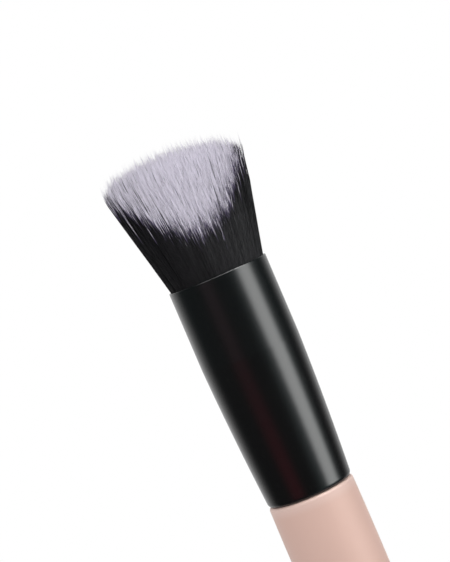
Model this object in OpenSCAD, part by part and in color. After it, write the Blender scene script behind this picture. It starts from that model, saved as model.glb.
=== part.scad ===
// Kabuki makeup brush: a turned and lacquered wooden handle, a black aluminium ferrule,
// and a flared two-tone bundle of fibres whose face is cut on a slant.
// Millimetres. The brush stands on the flat end of its handle, with +Z towards the fibres.
// The slanted face looks along -Y.

/* [Handle] */
// Length of the handle below the ferrule
handle_len = 95; // [70:1:130]
// Widest diameter of the handle
handle_d = 18.3; // [17:0.1:19.4]
// Diameter of the handle at its flat end
handle_end_d = 14; // [11:0.5:16]
// Radius on the edge of the flat end
end_edge_r = 1.4; // [0.5:0.1:2.5]
// Length over which the handle narrows towards its flat end
handle_taper_len = 68; // [50:1:68]
// How much the handle draws in on its radius just under the ferrule
neck_in = 0.1; // [0:0.05:0.3]
// Radius on the shoulder that the ferrule sits on
shoulder_r = 0.7; // [0.3:0.1:1]
// Diameter of the tenon inside the ferrule
tenon_d = 15.6; // [13:0.1:15.7]
// Length of the tenon
tenon_len = 19; // [16:0.5:21]
// Depth of the glue grooves turned into the tenon
groove_depth = 0.4; // [0.2:0.1:0.8]

/* [Ferrule] */
// Length of the ferrule
ferrule_len = 47.5; // [46:0.5:56]
// Outer diameter of the ferrule at its mouth
mouth_d = 20.9; // [20.2:0.1:22]
// Straight length below the mouth
barrel_len = 17; // [14:0.5:18]
// Outer diameter at the lower end, before its edge rolls in
ferrule_end_d = 18.05; // [17.4:0.05:18.2]
// Wall thickness of the ferrule
wall = 0.35; // [0.3:0.05:0.45]
// Radius of the rolled lower edge
roll_r = 1.3; // [1:0.1:1.5]

/* [Fibres] */
// Height of the fibres above the ferrule mouth, at their longest
head_h = 27.2; // [24:0.2:32]
// Width of the fibres where they spread widest
head_d = 29.4; // [26:0.2:33]
// Height above the mouth at which the fibres stop spreading
spread_h = 22; // [20:0.5:26]
// Drop of the slanted face from its crest to its front edge
face_drop = 16.7; // [10:0.1:18]
// Drop of the crown from the middle to each side corner
side_drop = 2.6; // [0:0.1:4]
// Drop of the crown from the crest to the back edge
back_drop = 2; // [0:0.1:4]
// How far the black fibres end below the white ones
white_len = 2.8; // [1.5:0.1:5]
// Largest random difference in length between locks of fibre
uneven = 0.5; // [0:0.1:0.8]
// Rings of locks, black and white by turns from the outside in
rings = 10; // [8:1:10]
// Locks added from one ring to the next one out
locks_per_ring = 7; // [6:1:7]
// Depth of backing that each ring of locks stands on
slice_h = 1.5; // [1:0.1:3]

/* [Inside the ferrule] */
// Depth of the bound root of the fibres below the mouth
root_depth = 19; // [17:0.5:20]
// Width of the thread binding
binding_w = 4; // [3:0.5:5]
// Thickness of the thread binding
binding_t = 0.7; // [0.4:0.1:1]
// Distance from the butt end of the fibres up to the binding
binding_up = 2.5; // [1.5:0.1:3]

/* [Fits] */
// Gap between the fibres and the bore of the ferrule
fibre_gap = 0.1; // [0.05:0.05:0.15]
// Gap between two rings of fibres at their roots
ring_gap = 0.1; // [0.08:0.02:0.14]
// Gap around the cast resin and the glue
cast_gap = 0.02; // [0.01:0.01:0.05]

/* [Hidden] */
$fn = 96;

// Heights on the brush
mouth_z = handle_len + ferrule_len;
root_z = mouth_z - root_depth;
tenon_top_z = handle_len + tenon_len;

// Radii that other pieces fit to
mouth_r = mouth_d / 2;
ferrule_end_r = ferrule_end_d / 2;
handle_r = handle_d / 2;
tenon_r = tenon_d / 2;
fibre_r = mouth_r - wall - fibre_gap;

// The ferrule's wall: a straight barrel, a curved taper, and an edge that rolls in
roll_angle = 55;
taper_bow = 0.45;
taper_steps = 12;
roll_steps = 6;
lip_steps = 6;
roll_h = roll_r * sin(roll_angle);
taper_len = ferrule_len - barrel_len - roll_h;

// Radius of the outer wall at a depth below the mouth, down to the start of the rolled edge
function outer_r(depth) =
    let (s = max(0, min(1, (depth - barrel_len) / taper_len)))
    mouth_r - (mouth_r - ferrule_end_r) * ((1 - taper_bow) * s + taper_bow * s * s);

// Points of the wall moved inwards by inset, from the mouth down to the rolled edge
function wall_line(inset) = concat(
    [for (i = [0 : taper_steps])
        let (depth = barrel_len + taper_len * i / taper_steps)
        [outer_r(depth) - inset, mouth_z - depth]],
    [for (i = [1 : roll_steps])
        let (a = roll_angle * i / roll_steps)
        [ferrule_end_r - roll_r + (roll_r - inset) * cos(a),
         handle_len + roll_h - (roll_r - inset) * sin(a)]]);

function backwards(list) = [for (i = [len(list) - 1 : -1 : 0]) list[i]];

module ferrule() {
    lip_r = wall / 2;
    lip = [for (i = [0 : lip_steps])
        let (a = 180 * i / lip_steps)
        [mouth_r - lip_r - lip_r * cos(a), mouth_z - lip_r + lip_r * sin(a)]];
    color("#15181a")
    rotate_extrude()
    polygon(concat(lip, wall_line(0), backwards(wall_line(wall))));
}

// Handle: the tenon's grooves hold the glue, and the shoulder carries the rolled edge
edge_steps = 6;
line_steps = 24;
neck_len = 12;
tenon_chamfer = 0.8;
groove_w = 1.2;
grooves = 3;
end_r = handle_end_d / 2;

// Radius of the handle at a height above the rounding of its flat end
function handle_line_r(z) =
    let (s = max(0, min(1, (z - end_edge_r) / (handle_taper_len - end_edge_r))))
    let (t = max(0, (z - handle_len + neck_len) / neck_len))
    end_r + (handle_r - end_r) * sin(90 * s) - neck_in * t * t;

module handle() {
    flat_edge = [for (i = [0 : edge_steps])
        let (a = 90 * i / edge_steps)
        [end_r - end_edge_r + end_edge_r * sin(a), end_edge_r - end_edge_r * cos(a)]];
    side_top = handle_len - shoulder_r;
    side = [for (i = [1 : line_steps])
        let (z = end_edge_r + (side_top - end_edge_r) * i / line_steps)
        [handle_line_r(z), z]];
    shoulder = [for (i = [1 : edge_steps])
        let (a = 90 * i / edge_steps)
        [handle_line_r(side_top) - shoulder_r + shoulder_r * cos(a),
         side_top + shoulder_r * sin(a)]];
    tenon = [[tenon_r, handle_len], [tenon_r, tenon_top_z - tenon_chamfer],
             [tenon_r - tenon_chamfer, tenon_top_z], [0, tenon_top_z]];
    color("#e2c3b8")
    difference() {
        rotate_extrude()
        polygon(concat([[0, 0]], flat_edge, side, shoulder, tenon));
        for (i = [1 : grooves])
            translate([0, 0, handle_len + tenon_len * i / (grooves + 1) - groove_w / 2])
            rotate_extrude()
            translate([tenon_r - groove_depth, 0])
            square([groove_depth + wall, groove_w]);
    }
}

// Glue between the tenon and the ferrule's wall, thicker where the ferrule widens
module tenon_glue() {
    glue_low = handle_len + roll_h;
    color("#c9b27a")
    difference() {
        inside_of_wall(glue_low, tenon_top_z);
        translate([0, 0, glue_low - 1])
        cylinder(r = tenon_r + cast_gap, h = tenon_top_z - glue_low + 2);
    }
}

// Resin cast between the top of the tenon and the butt end of the fibres
module resin_plug() {
    color("#d8c48c")
    inside_of_wall(tenon_top_z + cast_gap, root_z - cast_gap);
}

// A solid that fills the ferrule from one height to another
module inside_of_wall(low_z, high_z) {
    reach = high_z - low_z;
    side = [for (i = [0 : taper_steps])
        let (z = low_z + reach * i / taper_steps)
        [outer_r(mouth_z - z) - wall - cast_gap, z]];
    rotate_extrude()
    polygon(concat([[0, low_z]], side, [[0, high_z]]));
}

// Thread binding round the root: its outside stays within the wall where the ferrule narrows
binding_z = root_z + binding_up;
binding_top_z = binding_z + binding_w;
bound_r = packed_r(binding_z) - binding_t;

// Radius of the packed fibres at a height inside the ferrule
function packed_r(z) = outer_r(mouth_z - z) - wall - fibre_gap;

// The packed fibres inside the ferrule, soaked in resin and drawn in by their binding
module fibre_root() {
    waist_r = bound_r - cast_gap;
    color("#1d1b1c")
    rotate_extrude()
    polygon([[0, root_z], [packed_r(root_z) - binding_t / 2, root_z],
             [waist_r, binding_z - cast_gap], [waist_r, binding_top_z + cast_gap],
             [packed_r(binding_top_z), binding_top_z + cast_gap + binding_t],
             [fibre_r, mouth_z - slice_h], [0, mouth_z - slice_h]]);
}

module root_binding() {
    wrap_r = bound_r + binding_t;
    corner = binding_t / 3;
    color("#e6e1d6")
    rotate_extrude()
    polygon([[bound_r, binding_z], [wrap_r - corner, binding_z],
             [wrap_r, binding_z + corner], [wrap_r, binding_top_z - corner],
             [wrap_r - corner, binding_top_z], [bound_r, binding_top_z]]);
}

// Fibres: locks stand in rings, and each lock keeps its place in the bundle as it spreads
seed = 7;
crest = 0.1;
face_curve = 2.3;
bend_share = 0.55;
bend_fill = 0.88;
tip_fill = 0.7;
core_r = 0.25;
ring_pitch = (fibre_r - core_r) / rings;
points_per_lock = 12;

// Growth of the bundle at a height above the mouth: its sides are straight up to spread_h
function spread(h) = 1 + (head_d / 2 / fibre_r - 1) * min(1, h / spread_h);

// Height of the cut fibres at a place in the bundle, where x and y run from -1 to 1
function cut_h(x, y) =
    head_h
    - face_drop * pow(max(0, crest - y) / (1 + crest), face_curve)
    - back_drop * pow(max(0, y - crest) / (1 - crest), 2)
    - side_drop * x * x;

function locks_in(ring) = round(locks_per_ring * (ring - 0.5));
function inner_r(ring) = core_r + ring_pitch * (ring - 1) + ring_gap / 2;
function ring_r(ring) = core_r + ring_pitch * ring - ring_gap / 2;
function place(r, a, z) = [r * cos(a), r * sin(a), z];

// The four corners of a lock at a height, narrowed to a share of its own cell from its outer side
function corners(ring, a, step, h, fill) =
    let (grow = spread(h))
    let (outer = ring_r(ring) * grow)
    let (inner = outer - (ring_r(ring) - inner_r(ring)) * fill * grow)
    let (turn = step / 2 * fill)
    let (z = mouth_z + h)
    [place(inner, a - turn, z), place(outer, a - turn, z),
     place(outer, a + turn, z), place(inner, a + turn, z)];

// One ring of locks: each has two corners of its slice below, two above, its bend and its tip
function ring_points(ring, setback) =
    let (n = locks_in(ring))
    let (step = 360 / n)
    let (uneven_by = rands(-uneven, uneven, n, seed + ring))
    [for (i = [0 : n - 1])
        let (a = -90 + step * i)
        let (middle = (inner_r(ring) + ring_r(ring)) / 2 / fibre_r)
        let (tip = cut_h(middle * cos(a), middle * sin(a)) - setback + uneven_by[i])
        each concat(
            [place(inner_r(ring), a - step / 2, mouth_z - slice_h),
             place(ring_r(ring), a - step / 2, mouth_z - slice_h),
             place(inner_r(ring), a - step / 2, mouth_z),
             place(ring_r(ring), a - step / 2, mouth_z)],
            corners(ring, a, step, tip * bend_share, bend_fill),
            corners(ring, a, step, tip, tip_fill))];

function quad(a, b, c, d) = [[a, b, c], [a, c, d]];

// Four sides between one ring of four corners and the next one up
function sides(low, high) =
    [for (i = [0 : 3])
        let (j = (i + 1) % 4)
        each quad(low[i], high[i], high[j], low[j])];

function ring_faces(ring, first) =
    let (n = locks_in(ring))
    [for (i = [0 : n - 1])
        let (p = first + points_per_lock * i)
        let (q = first + points_per_lock * ((i + 1) % n))
        let (foot = [p + 2, p + 3, q + 3, q + 2])
        let (bend = [p + 4, p + 5, p + 6, p + 7])
        let (tip = [p + 8, p + 9, p + 10, p + 11])
        each concat(
            quad(p, p + 1, q + 1, q),
            quad(p + 1, p + 3, q + 3, q + 1),
            quad(q, q + 2, p + 2, p),
            sides(foot, bend),
            sides(bend, tip),
            quad(tip[0], tip[3], tip[2], tip[1]))];

// Points that the rings before this one in a list take up
function points_before(list, i) =
    i == 0 ? 0 : points_before(list, i - 1) + points_per_lock * locks_in(list[i - 1]);

module fibre_rings(list, setback) {
    polyhedron(
        points = [for (ring = list) each ring_points(ring, setback)],
        faces = [for (i = [0 : len(list) - 1]) each ring_faces(list[i], points_before(list, i))],
        convexity = 10);
}

module black_fibres() {
    color("#222024")
    fibre_rings([for (ring = [rings : -2 : 1]) ring], white_len);
}

module white_fibres() {
    color("#c9c5d0")
    fibre_rings([for (ring = [rings - 1 : -2 : 1]) ring], 0);
}

handle();
ferrule();
black_fibres();
white_fibres();
fibre_root();
root_binding();
resin_plug();
tenon_glue();
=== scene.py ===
# %% [markdown]
# # A kabuki makeup brush
# This lesson dresses a makeup brush: a pink lacquered handle, a black ferrule and a dense head of
# two-tone fibres, cut on a slant. The solid pieces come in as a fixed frame at their real size.
# Everything here is in metres in that frame, with +Z along the brush towards the fibres. The
# slanted face of the head looks along -Y, and X runs across it.

# %% Load the frame and measure it
import math

import bpy
import numpy as np
from mathutils import Matrix, Vector, kdtree


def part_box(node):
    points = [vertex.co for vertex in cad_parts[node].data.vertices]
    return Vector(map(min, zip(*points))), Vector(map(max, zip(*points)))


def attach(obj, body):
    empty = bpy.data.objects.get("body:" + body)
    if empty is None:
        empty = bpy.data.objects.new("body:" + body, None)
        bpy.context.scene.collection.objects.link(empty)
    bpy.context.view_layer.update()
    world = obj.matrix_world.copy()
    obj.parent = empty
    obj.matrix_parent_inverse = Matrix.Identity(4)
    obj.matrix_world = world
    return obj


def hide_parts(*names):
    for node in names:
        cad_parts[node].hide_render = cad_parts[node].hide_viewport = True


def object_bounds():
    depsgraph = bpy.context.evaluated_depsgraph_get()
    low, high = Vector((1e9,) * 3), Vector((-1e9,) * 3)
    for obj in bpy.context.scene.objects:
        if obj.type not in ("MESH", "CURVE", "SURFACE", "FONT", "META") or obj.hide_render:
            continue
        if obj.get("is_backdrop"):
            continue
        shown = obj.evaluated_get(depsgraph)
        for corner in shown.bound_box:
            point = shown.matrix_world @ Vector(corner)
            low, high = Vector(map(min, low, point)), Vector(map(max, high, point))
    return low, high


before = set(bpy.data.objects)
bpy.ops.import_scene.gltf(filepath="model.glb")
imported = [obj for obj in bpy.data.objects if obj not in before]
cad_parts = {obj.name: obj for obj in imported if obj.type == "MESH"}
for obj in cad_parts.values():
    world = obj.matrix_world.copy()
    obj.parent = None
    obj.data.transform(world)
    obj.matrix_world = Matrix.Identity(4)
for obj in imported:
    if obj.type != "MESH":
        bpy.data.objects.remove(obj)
solid_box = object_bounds()

MM = 0.001
MOUTH_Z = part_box("ferrule")[1].z
MOUTH_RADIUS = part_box("ferrule")[1].x
FERRULE_LOW_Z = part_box("ferrule")[0].z
HEAD_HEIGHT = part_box("white_fibres")[1].z - MOUTH_Z
HEAD_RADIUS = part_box("black_fibres")[1].x
rng = np.random.default_rng(4242)

print(f"mouth of the ferrule at {MOUTH_Z / MM:.1f} mm, radius {MOUTH_RADIUS / MM:.2f} mm")
print(f"head {HEAD_HEIGHT / MM:.1f} mm high and {2 * HEAD_RADIUS / MM:.1f} mm wide")

# %% [markdown]
# ## Camera
# The photograph was taken from almost level with the mouth of the ferrule, a little from above,
# with the brush leaning to the left in the frame. How much the rims of the ferrule bulge gives
# the distance: about 0.4 m. The camera is set by where the middle of the mouth lies in the
# frame, so the numbers can be read off the photograph. It is turned a few degrees round the
# brush, because the low point of the slanted face shows a little to the right of the middle.

# %% Place the camera
FRAME_SIZE = (450, 562)
MOUTH_PIXEL = (217.1, 273.7)
PIXELS_PER_MM = 5.0
CAMERA_DISTANCE = 0.4
BRUSH_LEAN = math.radians(23.23)
LOOK_DOWN = math.radians(2.6)
TURN = math.radians(6.5)
SENSOR = 36.0


def camera_axes():
    """The camera's right, up and forward directions, after it is rolled by the brush's lean."""
    forward = Vector((math.sin(TURN) * math.cos(LOOK_DOWN),
                      math.cos(TURN) * math.cos(LOOK_DOWN),
                      -math.sin(LOOK_DOWN)))
    level_right = Vector((math.cos(TURN), -math.sin(TURN), 0))
    level_up = level_right.cross(forward)
    right = math.cos(BRUSH_LEAN) * level_right - math.sin(BRUSH_LEAN) * level_up
    up = math.sin(BRUSH_LEAN) * level_right + math.cos(BRUSH_LEAN) * level_up
    return right, up, forward


def place_camera():
    right, up, forward = camera_axes()
    across = (FRAME_SIZE[0] / 2 - MOUTH_PIXEL[0]) / PIXELS_PER_MM * MM
    down = (FRAME_SIZE[1] / 2 - MOUTH_PIXEL[1]) / PIXELS_PER_MM * MM
    target = Vector((0, 0, MOUTH_Z)) + across * right - down * up
    data = bpy.data.cameras.new("camera")
    data.sensor_fit = "VERTICAL"
    data.sensor_height = SENSOR
    data.lens = PIXELS_PER_MM * CAMERA_DISTANCE / MM * SENSOR / FRAME_SIZE[1]
    data.clip_start = 0.01
    camera = bpy.data.objects.new("camera", data)
    turned = Matrix((right, up, -forward)).transposed().to_4x4()
    camera.matrix_world = Matrix.Translation(target - CAMERA_DISTANCE * forward) @ turned
    bpy.context.scene.collection.objects.link(camera)
    bpy.context.scene.camera = camera
    return camera


camera = place_camera()
print(f"lens {camera.data.lens:.0f} mm, camera at {[round(x, 3) for x in camera.location]}")

# %% [markdown]
# ## Light
# The brush was lit by a large soft box on the right, in front of white paper. Gloss and matt
# surfaces need different things from such a room. The glossy ferrule shows it as a picture: the
# box as a long grey band, the paper as pale lines along both edges, and on the left a faint
# streak that turns dark red towards the handle. So the room is painted in the world's shader by
# direction, where only glossy rays see it. Three bright panels high up give the lacquer its
# sheen and stay out of the ferrule's wall. Matt surfaces see an even glow and one real lamp, and
# the camera sees plain white. Directions are named by how far they lie to the right of the
# camera and above the floor.

# %% Helpers for node trees


def link(tree, out, into):
    tree.links.new(out, into)


def new_node(tree, kind, place=(0, 0), **settings):
    node = tree.nodes.new(kind)
    node.location = place
    for name, value in settings.items():
        setattr(node, name, value)
    return node


def calculate(tree, operation, first, second, place=(0, 0)):
    """A Math node. Each input is a socket to link or a number to set."""
    node = new_node(tree, "ShaderNodeMath", place, operation=operation)
    for socket, given in zip(node.inputs, (first, second)):
        if isinstance(given, (int, float)):
            socket.default_value = given
        else:
            link(tree, given, socket)
    return node.outputs["Value"]


def ramp(tree, value, low, high, place=(0, 0)):
    """0 below low, 1 above high and a smooth step between. It falls instead where low > high."""
    node = new_node(tree, "ShaderNodeMapRange", place, interpolation_type="SMOOTHSTEP")
    node.inputs["From Min"].default_value = min(low, high)
    node.inputs["From Max"].default_value = max(low, high)
    node.inputs["To Min"].default_value = 0 if low < high else 1
    node.inputs["To Max"].default_value = 1 if low < high else 0
    link(tree, value, node.inputs["Value"])
    return node.outputs["Result"]


def mix_colours(tree, mask, first, second, place=(0, 0)):
    """A colour Mix node. Each colour is a socket or three numbers, and mask is a socket."""
    node = new_node(tree, "ShaderNodeMix", place, data_type="RGBA")
    link(tree, mask, node.inputs["Factor"])
    for name, given in (("A", first), ("B", second)):
        if isinstance(given, tuple):
            node.inputs[name].default_value = (*given, 1)
        else:
            link(tree, given, node.inputs[name])
    return node.outputs["Result"]


def parts_of(tree, vector, place=(0, 0)):
    """The X, Y and Z of a vector."""
    split = new_node(tree, "ShaderNodeSeparateXYZ", place)
    link(tree, vector, split.inputs["Vector"])
    return split.outputs


print("node helpers ready")

# %% Name directions and soft patches in the room


def seen_towards(turn, tilt):
    """The direction that lies turn to the right of the camera and tilt above level."""
    across = turn - TURN
    return Vector((math.sin(across) * math.cos(tilt), -math.cos(across) * math.cos(tilt),
                   math.sin(tilt)))


def along_axis(tree, direction, axis, place):
    """How far a direction points along an axis, from -1 to 1."""
    dot = new_node(tree, "ShaderNodeVectorMath", place, operation="DOT_PRODUCT")
    dot.inputs[1].default_value = axis
    link(tree, direction, dot.inputs[0])
    return dot.outputs["Value"]


def patch(tree, direction, turn, tilt, half, soft, height, roll=0.0):
    """Mask of a soft-edged rectangle in the sky, round the direction of turn and tilt."""
    middle = seen_towards(turn, tilt)
    level = Vector((0, 0, 1)).cross(middle).normalized()
    right = math.cos(roll) * level + math.sin(roll) * middle.cross(level)
    sides = []
    for axis, reach in ((right, half[0]), (middle.cross(right), half[1])):
        off = calculate(tree, "ABSOLUTE", along_axis(tree, direction, axis, (-500, height)), 0,
                        (-350, height))
        sides.append(ramp(tree, off, math.sin(reach + soft), math.sin(reach - soft),
                          (-200, height)))
        height -= 200
    front = calculate(tree, "GREATER_THAN",
                      along_axis(tree, direction, middle, (-500, height)), 0, (-200, height))
    both = calculate(tree, "MULTIPLY", sides[0], sides[1], (0, height + 300))
    return calculate(tree, "MULTIPLY", both, front, (150, height + 300))


def panel(turn, tilt, half_width, half_height, soft, colour):
    """A soft patch of colour in the room, from angles in degrees."""
    turn, tilt, half_width, half_height, soft = np.radians(
        (turn, tilt, half_width, half_height, soft)).tolist()
    return turn, tilt, (half_width, half_height), soft, colour


print("straight at the camera is", [round(x, 2) for x in seen_towards(0, 0)])

# %% Choose what hangs in the room
GLOW = (1.0, 0.99, 1.01)
DARK_ROOM = (0.004, 0.004, 0.004)
UPPER_ROOM = (0.010, 0.034, 0.034)
UPPER_FROM = (-0.13, -0.02)
BACK_TURN = math.radians(-175)
BACK_FROM = (0.28, 1.07)
WHITE = (1.0, 1.0, 1.0)
WALL_HALF = (math.radians(32), math.radians(60))
WALL_SOFT = math.radians(12)
WALL_COLOUR = (0.10, 0.15, 0.15)
BOX_TURN = math.radians(62.5)
BOX_TILT = math.radians(-6)
BOX_HALF = (math.radians(14.5), math.radians(24))
BOX_ROLL = math.radians(28)
BOX_SOFT = math.radians(5)
BOX_IN_GLOSS = (3.05, 3.12, 3.10)
LOW_RED = panel(-33, -20, 15, 9, 10, (0.24, 0.015, 0.035))
LEVEL_GREY = panel(-33, 4, 12, 8, 4, (0.13, 0.12, 0.135))
HIGH_LEFT = panel(-34, 50, 12, 25, 4, (2.5, 2.5, 2.5))
HIGH_MIDDLE = panel(15, 50, 20, 25, 4, (2.6, 2.6, 2.6))
HIGH_RIGHT = panel(61, 50, 16, 25, 4, (9.0, 9.0, 9.0))
PANELS = (LOW_RED, LEVEL_GREY, HIGH_LEFT, HIGH_MIDDLE, HIGH_RIGHT)
print("a soft box, its wall and", len(PANELS), "panels")

# %% Paint the room and build the world


def paint_room(tree, direction):
    """What gloss sees: dark in front, white behind, the soft box on its wall, and the panels."""
    behind = ramp(tree, along_axis(tree, direction, seen_towards(BACK_TURN, 0), (-700, 200)),
                  *BACK_FROM, (-300, 200))
    upper = ramp(tree, parts_of(tree, direction, (-700, 500))["Z"], *UPPER_FROM, (-300, 500))
    wall = patch(tree, direction, BOX_TURN, BOX_TILT, WALL_HALF, WALL_SOFT, 900)
    box = patch(tree, direction, BOX_TURN, BOX_TILT, BOX_HALF, BOX_SOFT, -200, BOX_ROLL)
    room = mix_colours(tree, upper, DARK_ROOM, UPPER_ROOM, (0, 400))
    room = mix_colours(tree, wall, room, WALL_COLOUR, (150, 200))
    room = mix_colours(tree, behind, room, WHITE, (300, 0))
    room = mix_colours(tree, box, room, BOX_IN_GLOSS, (450, 0))
    for i, (turn, tilt, half, soft, colour) in enumerate(PANELS):
        lit = patch(tree, direction, turn, tilt, half, soft, -900 - 700 * i)
        room = mix_colours(tree, lit, room, colour, (600, -200 * i))
    return room


def build_world():
    world = bpy.data.worlds.new("studio")
    bpy.context.scene.world = world
    world.use_nodes = True
    tree = world.node_tree
    tree.nodes.clear()
    path = new_node(tree, "ShaderNodeLightPath", (400, 400)).outputs
    direction = new_node(tree, "ShaderNodeTexCoord", (-900, -200)).outputs["Generated"]
    room = paint_room(tree, direction)
    seen = mix_colours(tree, path["Is Glossy Ray"], GLOW, room, (750, 0))
    seen = mix_colours(tree, path["Is Camera Ray"], seen, WHITE, (900, 0))
    background = new_node(tree, "ShaderNodeBackground", (1050, 0))
    out = new_node(tree, "ShaderNodeOutputWorld", (1250, 0))
    link(tree, seen, background.inputs["Color"])
    link(tree, background.outputs["Background"], out.inputs["Surface"])
    return tree


print("world built with", len(build_world().nodes), "nodes")
bpy.context.scene.view_settings.view_transform = "Standard"

# %% [markdown]
# ## The lamp
# Fibres and lacquer are mostly matt, so one real lamp models their form: a rectangle the size of
# the soft box, nearer to the camera. Gloss doesn't see it, because the painted box is there.

# %% Add the soft box
BOX_DISTANCE = 0.6
BOX_RADIANCE = 0.55
LAMP_TURN = math.radians(38)
LAMP_TILT = math.radians(16)
LAMP_COLOUR = (1.0, 0.985, 0.96)


def add_soft_box():
    size = [2 * BOX_DISTANCE * math.tan(half) for half in BOX_HALF]
    data = bpy.data.lights.new("soft_box", "AREA")
    data.shape = "RECTANGLE"
    data.size, data.size_y = size
    data.energy = BOX_RADIANCE * math.pi * size[0] * size[1]
    data.color = LAMP_COLOUR
    lamp = bpy.data.objects.new("soft_box", data)
    lamp.visible_glossy = False
    towards = seen_towards(LAMP_TURN, LAMP_TILT)
    lamp.location = Vector((0, 0, (FERRULE_LOW_Z + MOUTH_Z) / 2)) + BOX_DISTANCE * towards
    lamp.rotation_euler = (-towards).to_track_quat("-Z", "Y").to_euler()
    bpy.context.scene.collection.objects.link(lamp)
    return size


print("soft box of", [round(side, 3) for side in add_soft_box()], "m")

# %% [markdown]
# ## Floor
# The brush stands on a pale floor. In the photograph only white shows, so the floor fades to
# plain white with distance. Close to the handle it is an ordinary matt surface that
# takes a soft shadow.

# %% Build the floor
FLOOR_RADIUS = 0.17
FLOOR_FADE = (0.05, 0.15)
FLOOR_CORNERS = 96
FLOOR_COLOUR = (0.86, 0.86, 0.86)


def from_axis(tree, where, place):
    """Distance from the brush's axis."""
    flat = new_node(tree, "ShaderNodeVectorMath", place, operation="MULTIPLY")
    flat.inputs[1].default_value = (1, 1, 0)
    link(tree, where, flat.inputs[0])
    reach = new_node(tree, "ShaderNodeVectorMath", (place[0] + 200, place[1]),
                     operation="LENGTH")
    link(tree, flat.outputs["Vector"], reach.inputs[0])
    return reach.outputs["Value"]


def make_floor_paper():
    """Matt paper near the brush that turns into plain white for the camera further out."""
    material = bpy.data.materials.new("floor_paper")
    material.use_nodes = True
    tree = material.node_tree
    tree.nodes.clear()
    paper = new_node(tree, "ShaderNodeBsdfDiffuse", (300, 0))
    paper.inputs["Color"].default_value = (*FLOOR_COLOUR, 1)
    white = new_node(tree, "ShaderNodeEmission", (300, -200))
    camera_ray = new_node(tree, "ShaderNodeLightPath", (0, 300)).outputs["Is Camera Ray"]
    where = new_node(tree, "ShaderNodeTexCoord", (-700, 0)).outputs["Object"]
    fade = ramp(tree, from_axis(tree, where, (-500, 0)), *FLOOR_FADE, (-100, 0))
    mix = new_node(tree, "ShaderNodeMixShader", (600, 0))
    out = new_node(tree, "ShaderNodeOutputMaterial", (900, 0))
    link(tree, calculate(tree, "MULTIPLY", fade, camera_ray, (300, 200)), mix.inputs["Fac"])
    link(tree, paper.outputs["BSDF"], mix.inputs[1])
    link(tree, white.outputs["Emission"], mix.inputs[2])
    link(tree, mix.outputs["Shader"], out.inputs["Surface"])
    return material


def build_floor():
    mesh = bpy.data.meshes.new("floor")
    rim = [(FLOOR_RADIUS * math.cos(a), FLOOR_RADIUS * math.sin(a), solid_box[0][2])
           for a in np.linspace(0, 2 * math.pi, FLOOR_CORNERS, endpoint=False)]
    mesh.from_pydata(rim, [], [tuple(range(len(rim)))])
    mesh.materials.append(make_floor_paper())
    floor = bpy.data.objects.new("floor", mesh)
    bpy.context.scene.collection.objects.link(floor)
    floor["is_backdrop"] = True
    floor.visible_glossy = False


build_floor()
print(f"floor of radius {FLOOR_RADIUS} m at z = {solid_box[0][2]:.4f}")

# %% [markdown]
# ## Shared effects
# Two finishes on this brush are sprayed: the pink lacquer and the black coat of the ferrule. Both
# have a faint orange-peel ripple, a drift in gloss and a few dust specks. Painting those twice
# would be more work and harder to change, so the effect is one node group with named sockets,
# placed in each material with its own values.

# %% Helpers for shared effects


def add_sockets(group, inputs, outputs):
    for name, kind, value in inputs:
        socket = group.interface.new_socket(name, in_out="INPUT", socket_type=kind)
        socket.default_value = value
    for name, kind in outputs:
        group.interface.new_socket(name, in_out="OUTPUT", socket_type=kind)


def noise(tree, where, scale, detail, place):
    node = new_node(tree, "ShaderNodeTexNoise", place)
    node.inputs["Scale"].default_value = scale
    node.inputs["Detail"].default_value = detail
    link(tree, where, node.inputs["Vector"])
    return node.outputs["Fac"]


def shaded(tree, colour, gain, place):
    """The colour times a number that changes over the surface."""
    node = new_node(tree, "ShaderNodeVectorMath", place, operation="SCALE")
    for given, socket in ((colour, node.inputs[0]), (gain, node.inputs["Scale"])):
        if isinstance(given, tuple):
            socket.default_value = given
        else:
            link(tree, given, socket)
    return node.outputs["Vector"]


def cells(tree, where, scale, place):
    """Round cells: the distance to the nearest middle, and a colour for each cell."""
    node = new_node(tree, "ShaderNodeTexVoronoi", place)
    node.inputs["Scale"].default_value = scale
    link(tree, where, node.inputs["Vector"])
    return node.outputs


print("effect helpers ready")

# %% Make the sprayed-coat group
PEEL_SCALE = 1100
CLOUD_SCALE = 60
SPECK_SCALE = 420
SPECK_REACH = (0.09, 0.04)
RARE_SPECK = 0.90


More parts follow.
